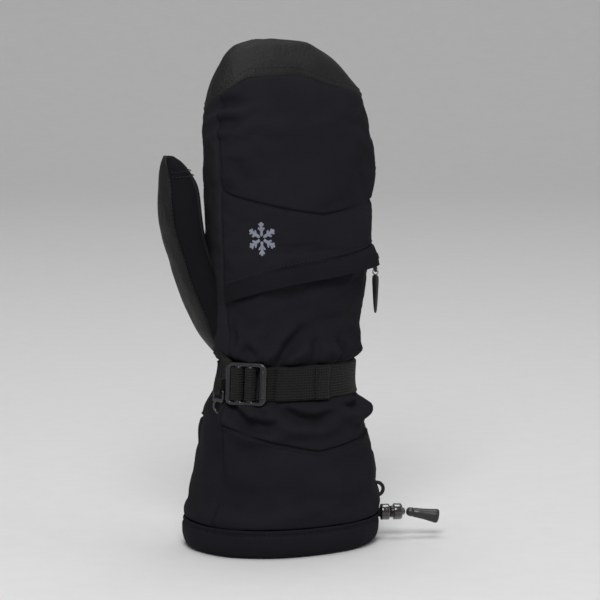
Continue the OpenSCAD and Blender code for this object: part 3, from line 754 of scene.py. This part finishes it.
TIP = (-76, 9, 0.6)
for piece, node_name, p0, p1, (skin, finish) in (
        ("thumb_palm_leather", "thumb_palm_panel", 220, 400, PALM),
        ("thumb_back_softshell", "thumb_back_panel", 40, 120, (shell_dark, "softshell")),
        ("thumb_inner_softshell", "thumb_inner_panel", 120, 220, GUSSET_PAINTED_LIGHT)):
    panel(piece, p0, p1, level(127), level(261), skin, finish, [node_name], at=on_thumb, relief=thumb_relief,
          roll=0.9, puff=0.1, tip=TIP, end_power=1.8, pitch=1.3)


# ---------------------------------------------------------------- hem, lining
def hem():
    """The turned hem: a soft roll that is puckered by its stitch row."""
    ps = np.arange(0, 360, 1.2)
    steps = range(11)
    shape = smooth(steps, [0.1, 0.75, 0.95, 0.8, 0.2, -1.1, -2.6, -4.1, -5.0, -5.2, -5.2])
    rise = smooth(steps, [19.4, 15.5, 10, 5, 1.8, 0.45, 0.15, 0.45, 2.2, 9, 19.2])
    k = np.linspace(0, 10, 46)
    p, kk = np.meshgrid(ps, k)
    o, z = shape(kk), rise(kk)
    front = 1 - step(kk, 4.2, 6)
    pucker = 0.5 * waves(p, z * 0.35, 7, 31) + 0.8 * waves(p, z * 0.2, 19, 32)
    pucker = pucker + 0.4 * np.sin(p * 1.9 + 2 * waves(p, z, 24, 9)) * np.exp(-((z - 16) / 3.5) ** 2)
    stitch = -1.1 * np.exp(-((z - 16.2) / 0.9) ** 2) * front
    o = o + front * pucker * step(z, 0, 6) + stitch
    z = z + (1 - np.abs(kk - 6) / 6).clip(0, 1) * (0.7 + 0.7 * waves(p, 0 * z, 16, 33))
    outer = on_hand(p, z, o)
    centre = on_hand(p, z * 0 + 9, -2.2)
    uv = np.stack([p * 1.05, kk * 4.5], -1) / 1000
    uv = np.concatenate([uv, uv[:, :1] + (0.378, 0)], 1)
    o = sheet_mesh("hem_roll", outer[::-1], (outer * 0.97 + centre * 0.03)[::-1], uv[::-1], True)
    return finish_piece(o, "shell", cuff_cloth, "cuff_fabric", ["cuff_hem"])


hem()


def lining():
    """The cuff's lining, a little slack."""
    ps, zs = np.arange(0, 360, 2.0), np.arange(19.3, 99.8, 2.0)
    p, z = np.meshgrid(ps, zs)
    off = -4.1 + 0.3 * waves(p, z, 14, 41) - 0.3
    uv = np.stack([p, z], -1) / 1000
    uv = np.concatenate([uv, uv[:, :1] + (0.36, 0)], 1)
    o = sheet_mesh("cuff_lining_cloth", on_hand(p, z, off), on_hand(p, z, off - 0.9), uv, True)
    return finish_piece(o, "shell", lining_cloth, "lining_fabric", ["cuff_lining"])


lining()


# ---------------------------------------------------------------- stitching
def stitches(name, path, outward, pitch=2.9, length=2.0, radius=0.26, material=thread_dark):
    """A row of sewn stitches along points in mm, each sinking into the cloth at its ends."""
    path, outward = np.asarray(path, float), np.asarray(outward, float)
    along_ = np.concatenate([[0], np.cumsum(np.linalg.norm(np.diff(path, axis=0), axis=1))])
    starts = np.arange(pitch * 0.5, along_[-1] - length, pitch)
    ts = np.linspace(0, 1, 5)
    lift = np.array([-0.30, 0.10, 0.22, 0.10, -0.30])
    width = np.array([0.55, 0.95, 1.0, 0.95, 0.55]) * radius
    sides = 6
    verts, faces = [], []
    for s0 in starts:
        places = s0 + ts * length
        mid = np.stack([np.interp(places, along_, path[:, k]) for k in range(3)], 1)
        up = np.stack([np.interp(places, along_, outward[:, k]) for k in range(3)], 1)
        up /= np.linalg.norm(up, axis=1, keepdims=True)
        tangent = mid[-1] - mid[0]
        tangent /= np.linalg.norm(tangent)
        side = np.cross(tangent, up)
        base = len(verts)
        for m, u, s, l, w in zip(mid, up, side, lift, width):
            for q in range(sides):
                a = 2 * math.pi * q / sides
                verts.append(m + u * (l + w * math.sin(a)) + s * w * math.cos(a))
        faces += ring_faces(len(ts), sides, base)
    o = new_object(name, np.array(verts) / 1000, faces)
    return finish_piece(o, "shell", material, "thread")


def stitch_line(name, p, z, off, at=on_hand, relief=hand_relief, **more):
    """Stitches along a line of angles and heights, off mm above the relief."""
    r = relief(p, z) + off
    path = at(p, z, r)
    return stitches(name, path, at(p, z, r + 1) - path, **more)


def sewn(name, p0, p1, height, **more):
    """Stitches at a height that follows the angle, lying on the relief."""
    p = np.linspace(p0, p1, 400)
    return stitch_line(name, p, height(p), **more)


def upright(name, angle, z0, z1, **more):
    """Stitches that run up at an angle."""
    z = np.linspace(z0, z1, 400)
    return stitch_line(name, np.full_like(z, angle), z, **more)


def above(seam, rise):
    return lambda p: seam(p) + rise


LIGHT, ON_THUMB = {"material": thread_light}, {"at": on_thumb, "relief": thumb_relief}
CAP_ROW = {"relief": cap_relief, "pitch": 2.6, "length": 1.7, **LIGHT}
THUMB_ROW = {"off": 0.25, "pitch": 2.7, "length": 1.8, **ON_THUMB}
TIP_ROW = {"off": 0.65, "pitch": 2.4, "length": 1.6, **ON_THUMB, **LIGHT}


def hem_relief(p, z):
    return 0.3 * waves(p, z * 0.35, 7, 31)


sewn("cap_stitch_low", 1, 359, above(cap_seam, 1.0), off=0.45, **CAP_ROW)
sewn("cap_stitch_high", 1, 359, above(cap_seam, 4.2), off=0.6, **CAP_ROW)
sewn("pocket_stitch", 22, 168, above(flap_top, 1.9), off=0.45, pitch=2.8, length=1.8, **LIGHT)
sewn("cuff_stitch_low", 21, 169, above(cuff_seam, -1.7), off=0.5)
sewn("cuff_stitch_high", 21, 169, above(cuff_seam, 1.8), off=0.2)
sewn("cuff_stitch_palm", 191, 339, above(cuff_seam, 1.8), off=0.2)
sewn("hem_stitch", 0, 360, level(16.2), off=0.1, relief=hem_relief, pitch=3.0, length=2.2)
sewn("wrist_stitch", 192, 338, level(WRIST_Z - 1.8), off=0.2)
upright("palm_edge_stitch", 338.4, 126, 285, off=0.15)
upright("palm_outer_stitch", 191.6, 126, 289, off=0.15)
upright("thumb_stitch_palm", 218, 150, 252, **THUMB_ROW)
upright("thumb_stitch_back", 42, 150, 252, **THUMB_ROW, **LIGHT)
sewn("thumb_tip_stitch_low", 44, 218, level(248.5), **TIP_ROW)
sewn("thumb_tip_stitch_high", 44, 218, level(251.5), **TIP_ROW)


# ---------------------------------------------------------------- pocket flap
def flap():
    """The zip's cover: sewn along its top, and standing off the slider along its free edge."""
    us = spaced(134, 1.5)
    ks = np.concatenate([[0, .03, .07, .12], np.linspace(.18, .94, 12), [.97, .985, 1.0]])
    u, k = np.meshgrid(us, ks[::-1])
    p = 22 + 146 * u
    z = flap_top(p) + (flap_low(p) - flap_top(p)) * k
    stand = 1.8 + 4.6 * step(p, 52, 80)
    lift = stand * k ** 0.36 * (1 - 0.6 * step(p, 143, 160))
    ends = np.minimum(u, 1 - u) * 134
    lift = lift * (0.25 + 0.75 * step(ends, 0, 10))
    lip = 0.35 * np.exp(-((k - 0.94) / 0.05) ** 2)
    outer = 1.35 + lift + lip + 0.35 * waves(p, z, 17, 51) * step(k, 0, 0.4)
    outer = outer - 0.9 * np.exp(-(k / 0.06) ** 2) - 0.5 * np.exp(-((1 - k) / 0.02) ** 2)
    inner = outer - 1.15 + 0.4 * np.exp(-((1 - k) / 0.02) ** 2)
    uv = np.stack([p * 0.92, z], -1) / 1000
    o = sheet_mesh("pocket_flap_cloth", on_hand(p, z, outer), on_hand(p, z, inner), uv)
    finish_piece(o, "shell", flap_cloth, "softshell", ["pocket_flap"])


flap()


# ---------------------------------------------------------------- embroidery: a plain six-armed snowflake
def bar(a, b, width):
    """A satin-stitched bar between two points of the flat design."""
    a, b = np.array(a, float), np.array(b, float)
    d = b - a
    d /= np.linalg.norm(d)
    n = np.array([-d[1], d[0]])
    length = np.linalg.norm(b - a)
    rows = []
    for t in np.linspace(0, length, max(6, int(length / 0.5))):
        taper = min(1, 0.45 + t, 0.45 + (length - t))
        rows.append([(*(a + d * t + n * w * width / 2 * taper), h) for w, h in
                     ((-1, -0.6), (-1, .12), (-.6, .42), (0, .55), (.6, .42), (1, .12), (1, -0.6))])
    return np.array(rows)


def emblem():
    verts, faces, bars = [], [], []
    for i in range(6):
        q = math.radians(60 * i + 30)
        d, n = np.array([math.cos(q), math.sin(q)]), np.array([-math.sin(q), math.cos(q)])
        bars.append(bar(d * 1.6, d * 10.4, 2.1))
        for r, w in ((4.6, 3.0), (7.6, 2.3)):
            for s in (-1, 1):
                bars.append(bar(d * r, d * (r + w * 0.75) + n * s * w * 0.8, 1.5))
    for b in bars:
        rows, cols = b.shape[:2]
        base = len(verts)
        for x, y, h in b.reshape(-1, 3):
            pp, zz = 56 + x * 1.06, 208.5 + y * 1.06
            verts.append(on_hand(pp, zz, hand_relief(pp, zz) + 0.7 + h))
        for j in range(rows - 1):
            for i in range(cols - 1):
                faces.append((base + j * cols + i, base + j * cols + i + 1, base + (j + 1) * cols + i + 1,
                              base + (j + 1) * cols + i))
        faces.append([base + i for i in range(cols)])
        faces.append([base + (rows - 1) * cols + i for i in range(cols)][::-1])
    o = new_object("snowflake_embroidery", np.array(verts) / 1000, faces)
    return finish_piece(o, "shell", embroidery, "embroidery", ["emblem_patch"])


emblem()


# ---------------------------------------------------------------- zip
ZIP = shift(12, 49, 159.5) @ turn("Y", -11) @ turn("X", -16.7)


def on_zip(r, a, z):
    """A point of the zip's circle, r mm outside it."""
    return ZIP @ Vector(((ZIP_R + r) * math.cos(a) / 1000, (ZIP_R + r) * math.sin(a) / 1000, z / 1000))


def zip_pieces():
    angles = np.radians(np.arange(-19, 42.1, 0.5) - 90)
    strip = [(1.0, -3.4), (1.35, -3.4), (1.4, -1.8), (1.4, 0.6), (1.35, 2.0), (1.0, 2.0)]
    verts = [on_zip(r, a, z) for a in angles for r, z in strip]
    n = len(strip)
    faces = ring_faces(len(angles), n, caps=False)
    uvs = [(i * 0.76 / 1000, k / 1000) for f in faces for i, k in ((v // n, v % n * 2) for v in f)]
    tape = new_object("zip_tape_cloth", verts, faces, uvs)
    finish_piece(tape, "shell", zip_cloth, "zip_fabric", ["zip_tape"])
    verts, faces = [], []
    for i, a in enumerate(np.radians(np.arange(-16, 40, 0.55) - 90)):
        side = 1 if i % 2 else -1
        path = [(1.5, side * 1.5), (2.1, side * 1.4), (2.35, side * 0.6), (2.2, -side * 0.3),
                (1.7, -side * 0.5)]
        faces += ring_faces(len(path), 5, len(verts), caps=False)
        for r, z in path:
            for b in (2 * math.pi * q / 5 for q in range(5)):
                verts.append(on_zip(r + 0.28 * math.sin(b) - 0.1, a + 0.3 * math.cos(b) / ZIP_R, z))
    coil = new_object("zip_coil_teeth", verts, faces)
    finish_piece(coil, "shell", zip_nylon, "zip_nylon", ["zip_coil"])


zip_pieces()

ZIP_PARK = 34
LUG = ZIP @ turn("Z", ZIP_PARK - 90) @ shift(ZIP_R, 0, 0) @ shift(3.2, 0, -8.2) @ turn("Y", 19.9)


def pull():
    """The ring in the slider's lug and the faceted tab that hangs from it."""
    ring_path = [(1.9 * math.cos(q), 0, -1.9 + 1.9 * math.sin(q))
                 for q in np.linspace(0, 2 * math.pi, 48, endpoint=False)]
    ring = place(tube_mesh("pull_ring", ring_path, 0.4, 12, closed=True), LUG)
    finish_piece(ring, "zip_pull", ring_metal, "ring_wire", ["zip_ring"])
    profile = [(0, 1.9), (-1.2, 2.3), (-3, 2.55), (-6, 2.5), (-10, 2.25), (-15, 1.9), (-20, 1.5),
               (-24, 1.0), (-25.6, 0.6)]
    facets = ((-1, -.25), (-.85, -.75), (0, -1.05), (.85, -.75), (1, -.25), (1, .25), (.85, .75), (0, 1.05),
              (-.85, .75), (-1, .25))
    verts = []
    for z, half in profile:
        twist = math.radians(8 * math.sin(z / 7))
        cos, sin = math.cos(twist), math.sin(twist)
        for x, y in facets:
            px, py = x * half, y * (0.9 if z > -22 else 0.6)
            verts.append((px * cos - py * sin, px * sin + py * cos, z - 3.9))
    n = len(facets)
    faces = [(j * n + (i + 1) % n, (j + 1) * n + (i + 1) % n, (j + 1) * n + i, j * n + i)
             for j in range(len(profile) - 1) for i in range(n)] + ring_faces(len(profile), n)[-2:]
    tab = new_object("pull_tab", np.array(verts) / 1000, faces)
    mod = tab.modifiers.new("round", "SUBSURF")
    mod.levels = mod.render_levels = 2
    place(tab, LUG)
    finish_piece(tab, "zip_pull", toggle_rubber, "zip_fabric", ["zip_tab"])


pull()


# ---------------------------------------------------------------- strap
def ribbon(name, p0, p1, base, thick=1.4, body="shell", replaced=()):
    """Webbing laid round the wrist, with soft rounded edges."""
    section = ([(-.5, .15), (-.485, .5), (-.46, .85), (-.43, 1)] + [(w, 1) for w in np.linspace(-.38, .38, 9)]
               + [(.43, 1), (.46, .85), (.485, .5), (.5, .15), (.48, 0)]
               + [(w, 0) for w in np.linspace(.38, -.38, 5)] + [(-.48, 0)])
    ps = np.linspace(p0, p1, max(8, int((p1 - p0) / 1.2)))
    n = len(section)
    p = np.repeat(ps[:, None], n, 1)
    w = np.array([s[0] for s in section])[None, :]
    h = np.array([s[1] for s in section])[None, :]
    off = np.array([base(a) for a in ps])[:, None] + thick * h
    z = strap_mid(p) + w * STRAP_W
    pts = on_hand(p, z, off).reshape(-1, 3)
    faces = ring_faces(len(ps), n, flip=True)
    uvs = [(ps[v // n] * 0.00088, section[v % n][0] * STRAP_W / 1000) for f in faces[:-2] for v in f]
    o = new_object(name, pts / 1000, faces, uvs + [(0, 0)] * (2 * n))
    return finish_piece(o, body, strap_cloth, "webbing", replaced)


ribbon("strap_main", 49, 172, lambda a: 0.75 + 2.6 * (1 - step(a, 48, 66)), replaced=["strap_webbing"])
ribbon("strap_left_anchor", 2, 21, lambda a: 0.8 + 1.6 * step(a, 12, 21), replaced=["strap_anchor"])
ribbon("strap_tail_end", 64, 102.5, lambda a: 2.6 + 0.5 * step(a, 64, 70), body="strap_end",
       replaced=["strap_tail"])
ribbon("strap_tail_fold", 92.5, 103, lambda a: 4.55 - 0.6 * step(a, 101.5, 103), 1.2, body="strap_end")


def tacks(name, middle, p0, p1, count, half, off, radius, body, replaced=()):
    """A bar of close stitches across the strap."""
    made = []
    for t in np.linspace(-half, half, count):
        a, b = [on_hand(p, float(strap_mid(middle)) + t, off) for p in (p0, p1)]
        made.append(tube_mesh("tack", np.linspace(a, b, 6) if body == "shell" else [a, b], radius, 6))
    finish_piece(join(name, made), body, thread_dark, "thread", replaced)


tacks("bartack_left", 3.2, 2.2, 4.2, 26, 9.5, 2.45, 0.33, "shell", ["strap_bartacks"])
tacks("bartack_right", 169.2, 168.2, 170.2, 26, 9.5, 2.45, 0.33, "shell")
tacks("strap_tail_stitches", 93, 93.4, 94.6, 12, 9.6, 5.95, 0.3, "strap_end")

# ladder lock
LOCK = shift(-37.75, -25.95, 113.5) @ turn("Z", -45) @ turn("X", 84)
slots = [rounded_box(x0, -11.5, x1, 11.5, 1.0, 4) for x0, x1 in ((-10.6, -7.0), (-3.6, 0.8), (4.2, 9.4))]
lock = plate("ladder_lock_frame", rounded_box(-13.75, -14, 13.75, 14, 4.5, 10), slots, 3.4, 0.95)
lip = tube_mesh("ladder_lock_lip", [(11.6, y, 1.5) for y in np.linspace(-9.5, 9.5, 24)],
                [0.5] + [1.25] * 22 + [0.5], 14)
bars = [tube_mesh("ladder_lock_bar", [(x, y, 0.55) for y in np.linspace(-11.8, 11.8, 20)], 1.45, 12)
        for x in (-5.3, 2.5)]
lock = join("ladder_lock_frame", [lock, lip] + bars)
place(lock, LOCK)
finish_piece(lock, "strap_buckle", buckle_plastic, "buckle_plastic", ["ladder_lock"])


def lock_strip(name, line, replaced=()):
    """Webbing that wraps a bar of the lock, along a line (x, z) in the lock's own frame."""
    line = np.array(line, float)
    ks = np.linspace(0, len(line) - 1, 40)
    xs = smooth(range(len(line)), line[:, 0])(ks)
    zs = smooth(range(len(line)), line[:, 1])(ks)
    dx, dz = np.gradient(xs), np.gradient(zs)
    length = np.hypot(dx, dz)
    nx, nz = -dz / length, dx / length
    run = np.cumsum(length)
    ys = np.concatenate([[-10.8, -10.6, -10.2], np.linspace(-9.6, 9.6, 9), [10.2, 10.6, 10.8]])
    thick = np.array([.25, .5, .62] + [.65] * 9 + [.62, .5, .25])
    outer, inner = [np.array([[(x + k * a * t, y, z + k * b * t) for y, t in zip(ys, thick)]
                              for x, z, a, b in zip(xs, zs, nx, nz)]) for k in (1, -1)]
    uv = np.array([[(r / 1000, y / 1000) for y in ys] for r in run])
    o = sheet_mesh(name, outer, inner, uv)
    place(o, LOCK)
    return finish_piece(o, "strap_buckle", strap_cloth, "webbing", replaced)


lock_strip("strap_weave_right", [(5.3, -1.5), (5.0, 0.6), (4.2, 2.0), (2.4, 2.6), (0.6, 2.1), (-0.3, 0.6),
                                 (-0.5, -1.5)], ["strap_weave"])
lock_strip("strap_weave_left", [(-3.0, -1.5), (-3.3, 0.8), (-4.4, 2.2), (-6.6, 2.4), (-9.2, 1.6), (-10.0, 0.0),
                                (-9.6, -1.5)])

# ---------------------------------------------------------------- pair clip
clip_point = on_hand(13, 107.5, 7)
CLIP = shift(*clip_point) @ turn("Z", -68) @ turn("X", 90)
hook = [(3.9 * math.cos(q), -10 + 4.2 * math.sin(q), 0) for q in np.radians(np.arange(40, 345, 8))]
clip_parts = [tube_mesh("clip_hook", hook, 1.05, 12, squash=0.85),
              plate("clip_bridge", rounded_box(-4.4, -7.0, 4.4, -4.4, 0.9, 4), [], 2.2, 0.5),
              tube_mesh("clip_pin", [(x, 0, 0) for x in np.linspace(-4.4, 4.4, 12)], 0.95, 12),
              tube_mesh("clip_left", [(-3.9, y, 0) for y in np.linspace(0.4, -5, 8)], 0.85, 10),
              tube_mesh("clip_right", [(3.9, y, 0) for y in np.linspace(0.4, -5, 8)], 0.85, 10)]
clip = place(join("pair_clip_hook", clip_parts), CLIP)
finish_piece(clip, "clip", buckle_plastic, "buckle_plastic", ["pair_clip"])

# ---------------------------------------------------------------- cuff cinch
CINCH = shift(64.2, -21.2, 17.5) @ turn("Z", -20)
TOGGLE = CINCH @ shift(18.6, 0, 0) @ turn("Y", 11)
housing = [(0.8, 1.7), (0.8, 4.4), (1.1, 5.2), (1.8, 5.5), (3.2, 5.35), (4.6, 5.35), (6.0, 5.5), (6.7, 5.2),
           (7.0, 4.5), (7.0, 4.1), (9.6, 4.0), (12.0, 3.95), (12.0, 1.8)]
plunger = [(9.4, 4.35), (9.4, 4.9), (9.8, 5.35), (10.4, 5.5), (12.4, 5.4), (14.2, 5.45), (14.9, 5.2),
           (15.4, 4.6), (15.5, 2.9), (16.2, 2.5), (17.1, 2.35), (17.2, 1.7)]
grip = [(0, 0.9), (0.2, 1.7), (0.8, 2.4), (1.6, 2.8), (3, 3.05), (4, 3.1), (4.4, 2.85), (4.9, 2.85), (5.3, 3.15),
        (9, 3.35), (12, 3.6), (15, 3.95), (18, 4.35), (20.2, 4.7), (21.2, 4.65), (21.8, 4.2), (22, 3.2),
        (21.6, 2.2), (21.5, 0.02)]
for name, profile, spot, body, skin, finish, node_name in (
        ("cord_lock_housing", housing, CINCH, "shell", lock_plastic, "lock_plastic", "cord_lock_body"),
        ("cord_lock_plunger", plunger, CINCH, "lock_button", lock_plastic, "lock_plastic", "cord_lock_button"),
        ("cord_end_toggle", grip, TOGGLE, "toggle", toggle_rubber, "toggle_rubber", "cord_toggle")):
    finish_piece(place(lathe(name, profile), spot), body, skin, finish, [node_name])
LOOP = shift(63.5, -19.2, 33) @ turn("Z", -20) @ turn("X", 90) @ turn("Z", -90)
loop_path = [(4.4 * math.cos(q), 4.4 * math.sin(q), 0) for q in np.radians(np.arange(-8, 189, 6))]
loop = place(tube_mesh("draw_cord_loop", loop_path, 1.2, 14), LOOP)
finish_piece(loop, "shell", cord_cloth, "cord", ["drawcord_loop"])

# ---------------------------------------------------------------- studio


def backdrop():
    """A seamless paper sweep behind and under the mitten."""
    s = Shader("paper")
    grain = s.noise(s.coords(), 60, 3)
    s.color(s.ramp(grain, 0.3, 0.7, 0, 1), (0.66, 0.66, 0.66), (0.68, 0.68, 0.68))
    s.rough(grain, 0.85, 0.95)
    s.set(Specular_IOR_Level=0.2)
    line = [(-6, 0), (1.8, 0)] + [(1.8 + 1.2 * math.sin(q), 1.2 - 1.2 * math.cos(q))
                                  for q in np.linspace(0, math.pi / 2, 16)[1:]] + [(3.0, 5)]
    verts, faces = [], []
    for x in (-6, 6):
        for d, z in line:
            verts.append((x, d, z))
    n = len(line)
    faces = [(i, i + 1, n + i + 1, n + i) for i in range(n - 1)]
    o = new_object("paper_sweep", verts, [f[::-1] for f in faces])
    o.data.transform(Matrix.Rotation(azimuth, 4, "Z"))
    o.data.materials.append(s.material)


backdrop()


def area_light(name, location, aim, size, power):
    data = bpy.data.lights.new(name, "AREA")
    data.shape, data.size, data.size_y = "RECTANGLE", size[0], size[1]
    data.energy = power
    o = bpy.data.objects.new(name, data)
    o.location = location
    o.rotation_euler = (Vector(location) - Vector(aim)).to_track_quat("Z", "Y").to_euler()
    bpy.context.scene.collection.objects.link(o)


area_light("key", (-0.9, -1.5, 1.9), (0, 0, 0.15), (1.1, 1.1), 39)
area_light("fill", (1.6, -1.1, 0.9), (0, 0, 0.18), (1.2, 1.5), 3.5)
area_light("top", (0.2, 0.4, 2.2), (0, 0, 0.1), (1.4, 1.4), 21)
world = bpy.data.worlds.new("studio")
world.use_nodes = True
background = world.node_tree.nodes["Background"]
background.inputs["Color"].default_value = (1, 1, 1, 1)
background.inputs["Strength"].default_value = 0.27
bpy.context.scene.world = world
bpy.context.scene.view_settings.view_transform = "Standard"
bpy.context.scene.view_settings.look = "None"
